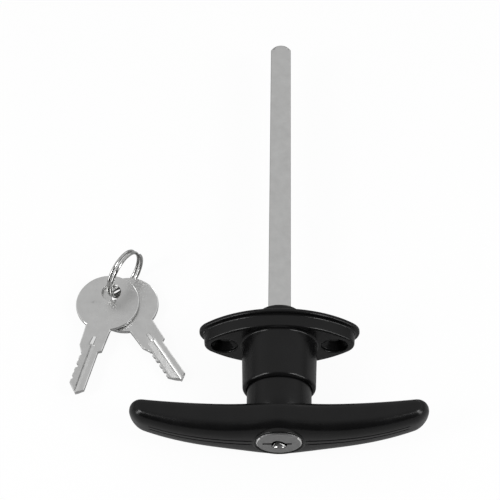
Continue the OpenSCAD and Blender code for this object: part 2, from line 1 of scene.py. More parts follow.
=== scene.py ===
# %% [markdown]
# A garage door T-handle lock, dressed for its product picture.
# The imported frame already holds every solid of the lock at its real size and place.
# This lesson models the pieces that show again with finer edges, and paints all of them.
# Everything is in metres, in the frame's own axes: +Y runs along the spindle into the door, Z is up.

# %% Open the frame
import json
import math

import bmesh
import bpy
from mathutils import Matrix, Vector


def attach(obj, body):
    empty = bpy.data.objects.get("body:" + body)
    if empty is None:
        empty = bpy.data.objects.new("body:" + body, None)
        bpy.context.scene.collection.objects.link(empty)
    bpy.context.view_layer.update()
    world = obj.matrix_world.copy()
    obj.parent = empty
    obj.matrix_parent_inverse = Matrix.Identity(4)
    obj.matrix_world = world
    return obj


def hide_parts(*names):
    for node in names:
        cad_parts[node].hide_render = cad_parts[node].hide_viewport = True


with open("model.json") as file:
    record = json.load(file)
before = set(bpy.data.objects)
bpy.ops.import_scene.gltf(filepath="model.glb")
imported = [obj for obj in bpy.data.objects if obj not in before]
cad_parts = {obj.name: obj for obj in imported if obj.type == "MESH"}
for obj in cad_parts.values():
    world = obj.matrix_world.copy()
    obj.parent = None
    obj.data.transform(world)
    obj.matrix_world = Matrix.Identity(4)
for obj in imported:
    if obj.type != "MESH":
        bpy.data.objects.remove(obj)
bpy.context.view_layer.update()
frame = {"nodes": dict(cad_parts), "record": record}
scene = bpy.context.scene
scene.view_settings.view_transform = "Standard"
MM = 0.001
print("solids in the frame:", len(frame["nodes"]))

# %% [markdown]
# The camera stands in front of the handle and looks down on it at about 57 degrees.
# A long lens keeps the square bar almost parallel, as in a catalogue picture.
# A sideways shift frames the keys without turning the camera away from the lock.

# %% Camera
FLOOR_Z = -0.0161
camera_data = bpy.data.cameras.new("product_camera")
camera_data.sensor_width = 36
camera_data.lens = 91.94
camera_data.shift_x = -0.0802
camera = bpy.data.objects.new("product_camera", camera_data)
camera.location = (0.0037, -0.21754, 0.3913)
camera.rotation_euler = (math.radians(32.697), 0, 0)
scene.collection.objects.link(camera)
scene.camera = camera
print("camera height above the floor:", round(camera.location.z - FLOOR_Z, 3))

# %% [markdown]
# Materials come first, so that each piece can be painted as soon as it is made.
# All of them read Object coordinates, which are the frame's own metres here.
# A small helper makes a surface with its texture coordinates, and others add grain to it.

# %% Helpers for finishes
def surface(name, colour, metallic, roughness):
    material = bpy.data.materials.new(name)
    material.use_nodes = True
    material.diffuse_color = (*colour, 1)
    shader = material.node_tree.nodes["Principled BSDF"]
    shader.inputs["Base Color"].default_value = (*colour, 1)
    shader.inputs["Metallic"].default_value = metallic
    shader.inputs["Roughness"].default_value = roughness
    return material, shader


def node(material, kind, **settings):
    made = material.node_tree.nodes.new(kind)
    for key, value in settings.items():
        if key in made.inputs:
            made.inputs[key].default_value = value
        else:
            setattr(made, key, value)
    return made


def link(material, source, target):
    material.node_tree.links.new(source, target)


def object_coordinates(material, scale=(1, 1, 1), rotation=(0, 0, 0)):
    place = node(material, "ShaderNodeTexCoord")
    mapping = node(material, "ShaderNodeMapping", Scale=scale, Rotation=rotation)
    link(material, place.outputs["Object"], mapping.inputs["Vector"])
    return mapping.outputs["Vector"]


def grain(material, where, scale, detail=3.0, roughness=0.5):
    noise = node(material, "ShaderNodeTexNoise", Scale=scale, Detail=detail, Roughness=roughness)
    link(material, where, noise.inputs["Vector"])
    return noise.outputs["Fac"]


def spread(material, value, low, high, target, start=0.3, end=0.7):
    scale = node(material, "ShaderNodeMapRange", clamp=True)
    scale.inputs["From Min"].default_value = start
    scale.inputs["From Max"].default_value = end
    scale.inputs["To Min"].default_value = low
    scale.inputs["To Max"].default_value = high
    link(material, value, scale.inputs["Value"])
    link(material, scale.outputs["Result"], target)


def tint(material, value, stops, target):
    ramp = node(material, "ShaderNodeValToRGB")
    for element, (position, colour) in zip(ramp.color_ramp.elements, (stops[0], stops[-1])):
        element.position, element.color = position, (*colour, 1)
    for position, colour in stops[1:-1]:
        ramp.color_ramp.elements.new(position).color = (*colour, 1)
    link(material, value, ramp.inputs["Fac"])
    link(material, ramp.outputs["Color"], target)


# Adds each face's painted-light value, painted highlight or painted shade, to a noise value.
def plus_painted_light(material, value):
    mark = node(material, "ShaderNodeAttribute", attribute_name="painted_light")
    total = node(material, "ShaderNodeMath", operation="ADD")
    link(material, value, total.inputs[0])
    link(material, mark.outputs["Fac"], total.inputs[1])
    return total.outputs["Value"]


def relief(material, shader, layers):
    previous = None
    for height, strength, distance in layers:
        bump = node(material, "ShaderNodeBump", Strength=strength, Distance=distance)
        link(material, height, bump.inputs["Height"])
        if previous:
            link(material, previous, bump.inputs["Normal"])
        previous = bump.outputs["Normal"]
    link(material, previous, shader.inputs["Normal"])


print("finish helpers ready")

# %% [markdown]
# The two castings wear gloss black stove enamel.
# Baked enamel is never quite flat: it has a fine orange peel about a millimetre across,
# and its gloss varies a little from place to place. Noise drives both.

# %% Black enamel
black_enamel, shader = surface("black_enamel", (0.005, 0.005, 0.0052), 0.0, 0.2)
shader.inputs["Specular IOR Level"].default_value = 0.25
where = object_coordinates(black_enamel)
peel = grain(black_enamel, where, 900, 2.0, 0.45)
cloud = grain(black_enamel, where, 120, 4.0, 0.55)
speck = grain(black_enamel, where, 5200, 2.0, 0.6)
tint(black_enamel, cloud, [(0.25, (0.0022, 0.0022, 0.0023)), (0.75, (0.0042, 0.0042, 0.0044))],
     shader.inputs["Base Color"])
spread(black_enamel, cloud, 0.2, 0.28, shader.inputs["Roughness"])
relief(black_enamel, shader, [(peel, 0.05, 0.0004), (speck, 0.03, 0.0001)])
print("made", black_enamel.name)

# %% [markdown]
# The square bar is drawn steel with a satin zinc plate.
# Drawing leaves long fine lines, and the plate has a cloudy spangle.
# Stretched noise makes the lines: the Mapping node squeezes it along Y.

# %% Zinc plate on the square bar
plated_bar, shader = surface("plated_bar", (0.5, 0.5, 0.49), 1.0, 0.36)
where = object_coordinates(plated_bar)
along = object_coordinates(plated_bar, scale=(1, 0.02, 1))
draw_lines = grain(plated_bar, along, 2600, 3.0, 0.6)
spangle = grain(plated_bar, where, 260, 5.0, 0.6)
speck = grain(plated_bar, where, 2400, 3.0, 0.65)
tint(plated_bar, spangle, [(0.3, (0.52, 0.52, 0.515)), (0.5, (0.55, 0.55, 0.545)), (0.7, (0.58, 0.58, 0.575))],
     shader.inputs["Base Color"])
spread(plated_bar, speck, 0.3, 0.46, shader.inputs["Roughness"])
relief(plated_bar, shader, [(draw_lines, 0.12, 0.0002), (speck, 0.08, 0.0001)])
print("made", plated_bar.name)

# %% [markdown]
# The lock face is turned on a lathe and satin plated, so its marks run in rings round the axis.
# A wave texture in rings round Y gives the turning marks, and noise breaks them up.
# The mesh carries a painted-light value on each face: 0 is plain, 1 is a painted highlight, and
# -1 is painted shade, near black.

# %% Turned lock face
lock_face, shader = surface("lock_face", (0.2, 0.2, 0.2), 1.0, 0.38)
where = object_coordinates(lock_face)
rings = node(lock_face, "ShaderNodeTexWave", wave_type="RINGS", rings_direction="Y",
             Scale=900, Distortion=1.5, Detail=2.0)
link(lock_face, where, rings.inputs["Vector"])
cloud = plus_painted_light(lock_face, grain(lock_face, where, 420, 4.0, 0.6))
# The lowest stop is painted shade and the top stop a painted highlight.
tint(lock_face, cloud, [(0.0, (0.004, 0.004, 0.004)), (0.3, (0.26, 0.26, 0.26)), (0.7, (0.32, 0.32, 0.32)),
                        (1.0, (0.95, 0.95, 0.94))], shader.inputs["Base Color"])
spread(lock_face, cloud, 0.42, 0.5, shader.inputs["Roughness"], 0.6, 0.9)
relief(lock_face, shader, [(rings.outputs["Fac"], 0.06, 0.0001)])
print("made", lock_face.name)

# %% [markdown]
# The keys are stamped from sheet and nickel plated: satin on the flats, with fine scratches
# from rubbing on each other. The scratches are noise stretched along the blade.
# The start of the fold, the edge bevels and the lower key's right flank carry a painted highlight, and a thin line
# beside the ridge carries painted shade.

# %% Nickel plate on the keys
key_metal, shader = surface("key_metal", (0.56, 0.56, 0.55), 1.0, 0.34)
where = object_coordinates(key_metal)
scratch_way = object_coordinates(key_metal, scale=(1, 0.06, 1), rotation=(0, 0, math.radians(20)))
scratch = grain(key_metal, scratch_way, 1800, 4.0, 0.7)
cloud = plus_painted_light(key_metal, grain(key_metal, where, 300, 4.0, 0.6))
scratch_and_painted_light = plus_painted_light(key_metal, scratch)
# The lowest stop is painted shade and the top stop a painted highlight.
tint(key_metal, cloud, [(0.0, (0.2, 0.2, 0.2)), (0.3, (0.55, 0.55, 0.545)), (0.7, (0.6, 0.6, 0.595)),
                        (1.0, (0.95, 0.95, 0.945))], shader.inputs["Base Color"])
spread(key_metal, scratch_and_painted_light, 0.38, 0.16, shader.inputs["Roughness"], 0.3, 1.0)
relief(key_metal, shader, [(scratch, 0.08, 0.0001)])
print("made", key_metal.name)

# %% [markdown]
# The split ring is polished spring wire.
# The springs, pins and clips are plain steel, and sleeve and wafers are brass.

# %% Wire, spring steel and brass
nickel_wire, shader = surface("nickel_wire", (0.5, 0.5, 0.495), 1.0, 0.16)
where = object_coordinates(nickel_wire)
haze = grain(nickel_wire, where, 900, 3.0, 0.6)
tint(nickel_wire, haze, [(0.3, (0.44, 0.44, 0.435)), (0.7, (0.56, 0.56, 0.55))], shader.inputs["Base Color"])
spread(nickel_wire, haze, 0.1, 0.24, shader.inputs["Roughness"])

spring_steel, shader = surface("spring_steel", (0.3, 0.3, 0.31), 1.0, 0.38)
where = object_coordinates(spring_steel)
haze = grain(spring_steel, where, 700, 4.0, 0.6)
tint(spring_steel, haze, [(0.3, (0.24, 0.24, 0.25)), (0.7, (0.36, 0.36, 0.37))], shader.inputs["Base Color"])
spread(spring_steel, haze, 0.3, 0.48, shader.inputs["Roughness"])
relief(spring_steel, shader, [(haze, 0.06, 0.0001)])

brass, shader = surface("brass", (0.58, 0.43, 0.19), 1.0, 0.34)
where = object_coordinates(brass)
haze = grain(brass, where, 600, 4.0, 0.6)
tint(brass, haze, [(0.3, (0.5, 0.36, 0.15)), (0.7, (0.64, 0.48, 0.23))], shader.inputs["Base Color"])
spread(brass, haze, 0.28, 0.44, shader.inputs["Roughness"])
relief(brass, shader, [(haze, 0.05, 0.0001)])

finishes = {"black_enamel": black_enamel, "plated_bar": plated_bar, "lock_face": lock_face, "key_metal": key_metal,
            "nickel_wire": nickel_wire, "spring_steel": spring_steel, "brass": brass}
print("finishes:", sorted(finishes))

# %% [markdown]
# The hidden solids keep the frame's own meshes: washers, clips, wafers, springs, cam and bolt.
# Each takes the finish that the record names for it.

# %% Paint the frame's solids
for row in frame["record"]["subparts"]:
    solid = frame["nodes"][row["node"]]
    solid.data.materials.clear()
    solid.data.materials.append(finishes[row["material_slot"]])

# %% [markdown]
# The new pieces are drawn in millimetres, the unit of the drawing, and scaled to metres at the end.
# Four helpers do most of the work: a turned shape, a prism, a Boolean, and the last step,
# which closes seams, turns the faces outwards, shades smooth and hangs the piece on its body.
# A Boolean can lose a tiny triangle where two cuts meet, so any hole that it leaves is filled.

# %% Helpers for shapes
MERGE = 0.0005


def settle(bm):
    bmesh.ops.remove_doubles(bm, verts=bm.verts, dist=MERGE)
    bmesh.ops.recalc_face_normals(bm, faces=bm.faces)
    return bm


def turned(profile, steps=128):
    bm = bmesh.new()
    verts = [bm.verts.new((r, y, 0)) for r, y in profile]
    edges = [bm.edges.new(pair) for pair in zip(verts, verts[1:])]
    bmesh.ops.spin(bm, geom=verts + edges, cent=(0, 0, 0), axis=(0, 1, 0), angle=math.tau, steps=steps,
                   use_merge=True)
    return settle(bm)


def prism(corners, low, high):
    bm = bmesh.new()
    face = bm.faces.new([bm.verts.new((x, y, low)) for x, y in corners])
    top = bmesh.ops.extrude_face_region(bm, geom=[face], use_keep_orig=True)["geom"]
    lifted = [g for g in top if isinstance(g, bmesh.types.BMVert)]
    bmesh.ops.translate(bm, vec=(0, 0, high - low), verts=lifted)
    return settle(bm)


def laid_along_spindle(bm):
    bmesh.ops.rotate(bm, cent=(0, 0, 0), matrix=Matrix.Rotation(math.radians(90), 3, "X"), verts=bm.verts)
    return settle(bm)


def corner(radius, centre_r, centre_y, start, end, steps=6):
    angles = [math.radians(start + (end - start) * k / steps) for k in range(steps + 1)]
    return [(centre_r + radius * math.cos(a), centre_y + radius * math.sin(a)) for a in angles]


def working_object(bm):
    mesh = bpy.data.meshes.new("working")
    bm.to_mesh(mesh)
    bm.free()
    made = bpy.data.objects.new("working", mesh)
    scene.collection.objects.link(made)
    return made


def combined(bm, operation, tools):
    base = working_object(bm)
    others = [working_object(tool) for tool in tools]
    for other in others:
        boolean = base.modifiers.new("combine", "BOOLEAN")
        boolean.operation, boolean.solver, boolean.object = operation, "EXACT", other
    bpy.context.view_layer.update()
    finished = base.evaluated_get(bpy.context.evaluated_depsgraph_get())
    result = bmesh.new()
    result.from_mesh(finished.to_mesh())
    finished.to_mesh_clear()
    for used in [base] + others:
        mesh = used.data
        bpy.data.objects.remove(used)
        bpy.data.meshes.remove(mesh)
    settle(result)
    bmesh.ops.holes_fill(result, edges=[e for e in result.edges if e.is_boundary])
    return settle(result)


def piece(bm, name, body, solid, slot, sharp=35):
    settle(bm)
    bmesh.ops.scale(bm, vec=(MM, MM, MM), verts=bm.verts)
    for face in bm.faces:
        face.smooth = True
    for edge in bm.edges:
        edge.smooth = edge.calc_face_angle(0) < math.radians(sharp)
    mesh = bpy.data.meshes.new(name)
    bm.to_mesh(mesh)
    bm.free()
    made = bpy.data.objects.new(name, mesh)
    scene.collection.objects.link(made)
    mesh.materials.append(finishes[slot])
    even = made.modifiers.new("even shading", "WEIGHTED_NORMAL")
    even.keep_sharp = True
    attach(made, body)
    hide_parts(solid)
    print(name, "faces:", len(mesh.polygons))


# %% [markdown]
# The escutcheon's plate is an oval of four arcs: two small ends and two long sides, each tangent
# to the next. A loop of vertices is laid on that oval, and the loop is extruded once for each line of
# the plate's section. Every vertex keeps its number on the oval in a layer, so that each new loop can
# be set in by an even amount. Inset and bevel could do it too, with less say over the radii.

# %% Oval plate with its rim
END_X, END_R, SIDE_R, HALF_H, END_PHI = 20.0, 8.0, 37.0, 16.0, math.radians(46.397)
OVAL_ARCS = [(END_X, 0, END_R, -END_PHI, 2 * END_PHI, 24),
             (0, HALF_H - SIDE_R, SIDE_R, END_PHI, math.pi - 2 * END_PHI, 44),
             (-END_X, 0, END_R, math.pi - END_PHI, 2 * END_PHI, 24),
             (0, SIDE_R - HALF_H, SIDE_R, math.pi + END_PHI, math.pi - 2 * END_PHI, 44)]
OVAL_PLACES = [(x, z, radius, start + angle * k / steps)
               for x, z, radius, start, angle, steps in OVAL_ARCS for k in range(steps)]


def oval_point(number, inset, y):
    x, z, radius, a = OVAL_PLACES[number]
    return x + (radius - inset) * math.cos(a), y, z + (radius - inset) * math.sin(a)


def lofted(rings):
    bm = bmesh.new()
    number = bm.verts.layers.int.new("number")
    loop = bmesh.ops.create_circle(bm, segments=len(rings[0]), radius=1)["verts"]
    for k, vert in enumerate(loop):
        vert[number] = k
        vert.co = rings[0][k]
    edges = bm.edges[:]
    bmesh.ops.contextual_create(bm, geom=edges)
    for ring in rings[1:]:
        made = bmesh.ops.extrude_edge_only(bm, edges=edges)["geom"]
        fresh = {g for g in made if isinstance(g, bmesh.types.BMVert)}
        for vert in fresh:
            vert.co = ring[vert[number]]
        edges = [e for e in bm.edges if e.verts[0] in fresh and e.verts[1] in fresh]
    bmesh.ops.contextual_create(bm, geom=edges)
    return settle(bm)


def oval_body(section):
    return lofted([[oval_point(k, inset, y) for k in range(len(OVAL_PLACES))] for inset, y in section])


RIM_R, LEDGE_R, FRONT_R, FACE_INSET = 0.63, 0.75, 0.8, 2.7
rim_edge = [(RIM_R - x, y) for x, y in corner(RIM_R, 0, -0.77, 0, -90)]
ledge = corner(LEDGE_R, 0.88, -2.15, 90, 0)
front_edge = [(FACE_INSET - x, y) for x, y in corner(FRONT_R, 0, -5.2, 0, -90, 8)]
plate = oval_body([(0.15, 0), (0, -0.15)] + rim_edge + ledge + front_edge)
print("oval plate faces:", len(plate.faces))

# %% [markdown]
# The collar is a turned tube with a slight taper, a round front edge and a fillet at its foot.
# The door side is cored out, so that the casting has an even wall: an oval pocket, with two bosses
# left for the screws and the hub for the shank. Screw seats are turned cutters with a small
# round at the mouth, so that the Boolean leaves a soft edge like a real casting under paint.
# Four notches inside the hub take the locking bolt, one for each quarter turn.

# %% Escutcheon
SCREW_X, SCREW_R, SEAT_R, MOUTH_R = 19.05, 2.6, 4.7, 0.4
collar = turned([(0, -3.6), (13.9, -3.6), (13.9, -5.98)]
                + corner(0.8, 13.87, -6.8, 90, 180, 6)[1:]
                + corner(1.4, 11.15, -22.1, 0, -90, 8) + [(0, -23.5)])


def boss(x):
    bm = turned([(0, -5), (6.5, -5), (6.5, -0.2), (6.3, 0), (0, 0)], 64)
    bmesh.ops.translate(bm, vec=(x, 0, 0), verts=bm.verts)
    return bm


def screw_seat(x):
    mouth = [(SEAT_R + MOUTH_R - px, py) for px, py in corner(MOUTH_R, 0, -5.6, 0, -90, 4)][::-1]
    cone = [(SEAT_R, -4.9), (4.55, -4.7), (2.75, -2.9), (SCREW_R, -2.7), (SCREW_R, 1)]
    bm = turned([(0, -8), (SEAT_R + MOUTH_R, -8)] + mouth + cone + [(0, 1)], 64)
    bmesh.ops.translate(bm, vec=(x, 0, 0), verts=bm.verts)
    return bm


core = oval_body([(3.0, 1), (3.0, -3.4), (3.2, -3.6)])
escutcheon = combined(plate, "DIFFERENCE", [core])
escutcheon = combined(escutcheon, "UNION", [boss(-SCREW_X), boss(SCREW_X), collar])
bore = turned([(0, -25), (11.9, -25), (11.9, -23.6)] + corner(0.55, 11.6, -22.95, -90, -180, 4)[1:]
              + [(11.05, -18.85), (7.85, -18.85), (7.85, 1), (0, 1)])
NOTCH_HALF, NOTCH_R, NOTCH_START, NOTCH_END = 3.28, 10.1, 13.02, 16.38
notches = [prism([(-x, -z), (x, -z), (x, z), (-x, z)], NOTCH_START, NOTCH_END)
           for x, z in ((NOTCH_HALF, NOTCH_R), (NOTCH_R, NOTCH_HALF))]
for notch in notches:
    laid_along_spindle(notch)
escutcheon = combined(escutcheon, "DIFFERENCE", [bore] + notches)
escutcheon = combined(escutcheon, "DIFFERENCE", [screw_seat(-SCREW_X), screw_seat(SCREW_X)])
piece(escutcheon, "escutcheon_cast", "escutcheon", "escutcheon", "black_enamel")

# %% [markdown]
# The T-bar is one long loft. It starts as a cylinder along X, cut into many rings by subdividing
# its long edges. Each ring then takes a squared oval section: the height falls from the hub to the
# tips, the front sweeps back, and the last five millimetres close in a round. The vertices round
# the section are closer together on the front, where two grooves run along each wing.

# %% T-bar
BAR_HALF, BAR_FRONT, BAR_BACK, TIP = 50.5, -42.6, -31.0, 5.0
FRONT_SWEEP, BACK_SWEEP, HUB_H, TAPER, SWELL, SWELL_X = 8.2, 3.2, 18, 6.2, 1.8, 11
GROOVE_START, GROOVE_END, GROOVE_DEPTH, GROOVE_SHARE, GROOVE_HALF = 9.3, 44.0, 0.45, 0.14, 0.042
RING_CUTS, BACK_ANGLE, BACK_STEPS = 151, 24, 30
FRONT_SHARES = [0, 0.04, 0.075, 0.095, 0.105, 0.12, 0.14, 0.16, 0.175, 0.185, 0.205, 0.25, 0.3, 0.36, 0.43,
                0.5, 0.57, 0.63]
bar_angles = [math.asin(share ** 2) for share in FRONT_SHARES]
bar_angles += [math.radians(BACK_ANGLE + (180 - BACK_ANGLE) * k / BACK_STEPS) for k in range(BACK_STEPS + 1)]
bar_angles += [-a for a in bar_angles[-2:0:-1]]


def clamped(value):
    return min(1.0, max(0.0, value))


def groove_depth(x, share):
    along_wing = clamped((abs(x) - GROOVE_START) / 0.6) * clamped((GROOVE_END - abs(x)) / 2)
    return GROOVE_DEPTH * along_wing * clamped(1 - abs(share - GROOVE_SHARE) / GROOVE_HALF) ** 0.8


def bar_place(t, a):
    x = math.copysign(BAR_HALF * (1 - max(0, 1 - abs(t)) ** 1.7), t)
    u = abs(x) / BAR_HALF
    front, back = BAR_FRONT + FRONT_SWEEP * u ** 2.6, BAR_BACK + BACK_SWEEP * u ** 2
    half_h = (HUB_H - TAPER * u) / 2 + SWELL * math.exp(-(x / SWELL_X) ** 2)
    tip = math.sqrt(max(0, 1 - clamped((abs(x) - BAR_HALF + TIP) / TIP) ** 2.2))
    share = math.sqrt(abs(math.sin(a)))
    top, bottom = 2.9 - 0.6 * u ** 2, 4.3 + 2.7 * math.exp(-(x / 13) ** 2)
    power = 4.0 if math.cos(a) < 0 else top if a > 0 else bottom
    depth = math.copysign(max(0, 1 - share ** power) ** (1 / power), math.cos(a))
    groove = groove_depth(x, share) if depth > 0 else 0
    y = (front + back) / 2 - (back - front) / 2 * tip * depth + groove
    return x, y, math.copysign(half_h * tip * share, a)


bar = bmesh.new()
bmesh.ops.create_cone(bar, cap_ends=True, segments=len(bar_angles), radius1=1, radius2=1, depth=2)
bmesh.ops.rotate(bar, cent=(0, 0, 0), matrix=Matrix.Rotation(math.radians(90), 3, "Y"), verts=bar.verts)
long_edges = [e for e in bar.edges if abs(e.verts[0].co.x - e.verts[1].co.x) > 1]
bmesh.ops.subdivide_edges(bar, edges=long_edges, cuts=RING_CUTS)
for vert in bar.verts:
    step = round(math.atan2(vert.co.z, -vert.co.y) / math.tau * len(bar_angles)) % len(bar_angles)
    vert.co = bar_place(vert.co.x, bar_angles[step])
settle(bar)
print("T-bar faces:", len(bar.faces))

# %% [markdown]
# Neck, shank and bezel are turned, so they are spun about the spindle's axis and joined to the bar.
# Then the inside is bored for the lock, with a square socket for the spindle and a cross hole for its
# pin. The bezel's inner edge is countersunk, which is the dark ring that shows round the lock face.

# %% Handle
SOCKET_SIDE, SOCKET_LENGTH, SOCKET_FLOOR, PIN_R, PIN_Y = 7.98, 20.4, -11.9, 1.52, 3.25
neck = turned([(0, -37), (9.4, -37), (9.4, -36), (10.25, -33), (10.75, -31), (11, -28.5), (11, -19.2),
               (10.7, -18.9), (7.8, -18.9), (7.8, -1.8), (7.1, -1.8), (7.1, -0.72), (7.8, -0.72)]
              + corner(1, 6.8, 5.5, 0, 90, 5) + [(0, 6.5)])
bezel = turned([(0, -42.75)] + corner(0.45, 8.45, -42.3, -90, 0, 5) + [(8.9, -36), (0, -36)])
handle = combined(bar, "UNION", [neck, bezel])
lock_bore = turned([(0, -44), (9, -44), (8.3, -42.76), (7.85, -42.2), (7.8, -41.05), (7.72, -41.05), (7.72, -19.9),
                    (6.5, -19.9), (6.5, -16.5), (3.3, -16.5), (3.3, -13.1), (0, -13.1)])
socket = bmesh.new()
bmesh.ops.create_cube(socket, size=1)
bmesh.ops.scale(socket, vec=(SOCKET_SIDE, SOCKET_LENGTH, SOCKET_SIDE), verts=socket.verts)
bmesh.ops.translate(socket, vec=(0, SOCKET_FLOOR + SOCKET_LENGTH / 2, 0), verts=socket.verts)
pin_hole = bmesh.new()
bmesh.ops.create_cone(pin_hole, cap_ends=True, segments=32, radius1=PIN_R, radius2=PIN_R, depth=40)
bmesh.ops.rotate(pin_hole, cent=(0, 0, 0), matrix=Matrix.Rotation(math.radians(90), 3, "Y"),
                 verts=pin_hole.verts)
bmesh.ops.translate(pin_hole, vec=(0, PIN_Y, 0), verts=pin_hole.verts)
handle = combined(handle, "DIFFERENCE", [lock_bore, socket, pin_hole])
piece(handle, "handle_cast", "handle", "handle", "black_enamel", sharp=22)

# %% [markdown]
# The spindle is a square bar with four small long radii and a turned, rounded end.
# A cube is stretched and bevelled, then cut by a spun envelope, just as a lathe would round it.

# %% Square spindle
SPINDLE_SIDE, SPINDLE_LENGTH, SPINDLE_END = 7.94, 141.88, 130
spindle = bmesh.new()
bmesh.ops.create_cube(spindle, size=1)
bmesh.ops.scale(spindle, vec=(SPINDLE_SIDE, SPINDLE_LENGTH, SPINDLE_SIDE), verts=spindle.verts)
bmesh.ops.translate(spindle, vec=(0, SPINDLE_END - SPINDLE_LENGTH / 2, 0), verts=spindle.verts)
long_edges = [e for e in spindle.edges if abs(e.verts[0].co.y - e.verts[1].co.y) > 10]
bmesh.ops.bevel(spindle, geom=long_edges, offset=0.5, offset_type="OFFSET", affect="EDGES",
                segments=5, profile=0.5, material=-1)
envelope = turned([(0, -15), (7, -15), (7, 126.2), (4.9, 126.4)]
                  + corner(3.4, 1.17, 126.6, 0, 90, 12) + [(0, SPINDLE_END)])
spindle = combined(spindle, "INTERSECT", [envelope])
piece(spindle, "spindle_bar", "handle", "spindle", "plated_bar", sharp=28)

# %% [markdown]
# The plug is turned, with a chamfer round its face that catches the light and carries a painted highlight at its
# far left and right.
# The keyway is a shallow slot across the face with a roof-shaped opening in its middle.
# Behind the face five slots run across the plug, and the wafers slide in them.
# In the opening the edges of the ward and the first wafer show: a grey ridge with an edge on each side, and two
# small corners in front, which carry painted highlights. They are thin facets set into the opening at a slant,
# with painted shade on their sides.

# %% Lock plug
FACE_Y, FACET_T = -42.85, 0.05
SLOT_START, SLOT_END, SLOT_HALF, WAFER_PITCH, WAFER_COUNT = 27.8, 28.9, 3.19, 2.4, 5
# Painted-light values: painted shade, painted highlight, and a faint painted highlight.
PAINTED_SHADE, PAINTED_HIGHLIGHT, PAINTED_SHEEN = -1.0, 0.8, 0.15
plug = turned([(0, FACE_Y), (7.1, FACE_Y), (7.25, FACE_Y + 0.05), (7.7, FACE_Y + 0.5), (7.75, FACE_Y + 0.65),
               (7.75, -41.07), (6.2, -41.07), (6.2, -19.9), (0, -19.9)])
opening = prism([(-2.5, -1.29), (-2.35, 0.67), (-1.82, 1.9), (-0.88, 2.45), (0.06, 2.4), (1.32, 1.45),
                 (2.79, -0.26), (2.68, -1.39), (2.4, -2.4), (2.06, -3.45), (-2.08, -3.45), (-2.4, -2.4)], 0, 4)
key_slot = prism([(-5.5, -0.5), (4.3, -0.5), (4.3, 0.5), (-5.5, 0.5)], 0, 3)
for cutter, depth in ((opening, -39.3), (key_slot, -40.6)):
    laid_along_spindle(cutter)
    bmesh.ops.translate(cutter, vec=(0, depth, 0), verts=cutter.verts)
wafer_slots = [prism([(-7, -SLOT_HALF), (7, -SLOT_HALF), (7, SLOT_HALF), (-7, SLOT_HALF)],
                     SLOT_START + WAFER_PITCH * k, SLOT_END + WAFER_PITCH * k) for k in range(WAFER_COUNT)]
for cutter in wafer_slots:
    laid_along_spindle(cutter)
plug = combined(plug, "DIFFERENCE", [opening, key_slot] + wafer_slots)
# Painted shade blackens the inside of the keyway and the wafer slots. The chamfer gets a painted highlight at its
# far left and right, and a faint one elsewhere.
painted_light = plug.faces.layers.float.new("painted_light")
for face in plug.faces:
    middle = face.calc_center_median()
    if middle.y > FACE_Y + 0.2 and math.hypot(middle.x, middle.z) < 6:
        face[painted_light] = PAINTED_SHADE
    elif math.hypot(middle.x, middle.z) > 7.15 and -0.9 < face.normal.y < -0.3:
        face[painted_light] = PAINTED_HIGHLIGHT if abs(middle.x) > 6.3 else PAINTED_SHEEN


# Each facet's front takes the given painted light, and its sides take painted shade.
def ward_facet(corners, bright):
    verts = [plug.verts.new((x, FACE_Y + depth, z)) for x, depth, z in corners]
    face = plug.faces.new(verts)
    made = bmesh.ops.extrude_face_region(plug, geom=[face], use_keep_orig=True)["geom"]
    backs = [g for g in made if isinstance(g, bmesh.types.BMVert)]
    bmesh.ops.translate(plug, vec=(0, 0, -FACET_T), verts=backs)
    for side in {f for vert in verts for f in vert.link_faces}:
        side[painted_light] = bright if side == face else PAINTED_SHADE


# The ridge stays plain. The two slanted edges and the two corners carry painted highlights.
ward_facet([(-2.08, 0.04, -3.4), (2.06, 0.04, -3.4), (2.33, 0.49, -3.18), (1.46, 0.9, -2.98),
            (0.39, 1.23, -2.82), (0.29, 1.94, -2.47), (-1.05, 1.94, -2.47), (-1.15, 1.14, -2.86),
            (-2.21, 0.37, -3.24)], 0.0)
ward_facet([(-2.13, 0.03, -2.4), (-1.2, 0.72, -1.68), (-1.43, 1.05, -1.6), (-2.37, 0.33, -2.33)], 1.0)
ward_facet([(2.13, 0.03, -2.15), (2.33, 0.29, -2.09), (0.31, 0.83, -1.05), (0.31, 0.57, -1.18)], 0.3)
ward_facet([(-1.71, 0.17, -3.28), (-0.57, 0.02, -2.93), (-0.71, 0.47, -2.75), (-1.34, 0.65, -2.9)], 1.0)
ward_facet([(1.83, 0.17, -3.28), (1.66, 0.38, -3.11), (1.0, 0.35, -2.88), (0.96, 0.05, -3.02)], 1.0)
piece(plug, "lock_plug", "plug", "plug", "lock_face")

# %% [markdown]
# Both keys are the same stamping: a round head with the ring hole, a stem, and a blade with cuts on
# one edge and a pressed fold along its middle. The outline is a disc joined to a plate, the cuts and
# the hole are taken out, and the fold is added on top and taken away below, as a press would do.
# The fold is a loft: it starts buried in the stem, rises to a lip and runs on as a ridge to the tip.

# %% Keys
HOLE_TO_HEAD, SHOULDER, BLADE, KEY_T, FOLD = 4.5, 24.3, 18.0, 1.4, 1.0
CUTS = [2, 1, 3, 1, 2]
HEAD_R, HOLE_R, EDGE_R, CUT_STEP, FIRST_CUT = 11.5, 3.45, 0.3, 0.3, 2.6
FLANK, LIP_START, LIP_END = 0.75, 5.4, 1.7
KEY_SET, KEY_AZIMUTH = (-56.9, 27.3), math.radians(58.6)


def upright(profile, y, steps):
    bm = laid_along_spindle(turned(profile, steps))
    bmesh.ops.translate(bm, vec=(0, y, 0), verts=bm.verts)
    return bm


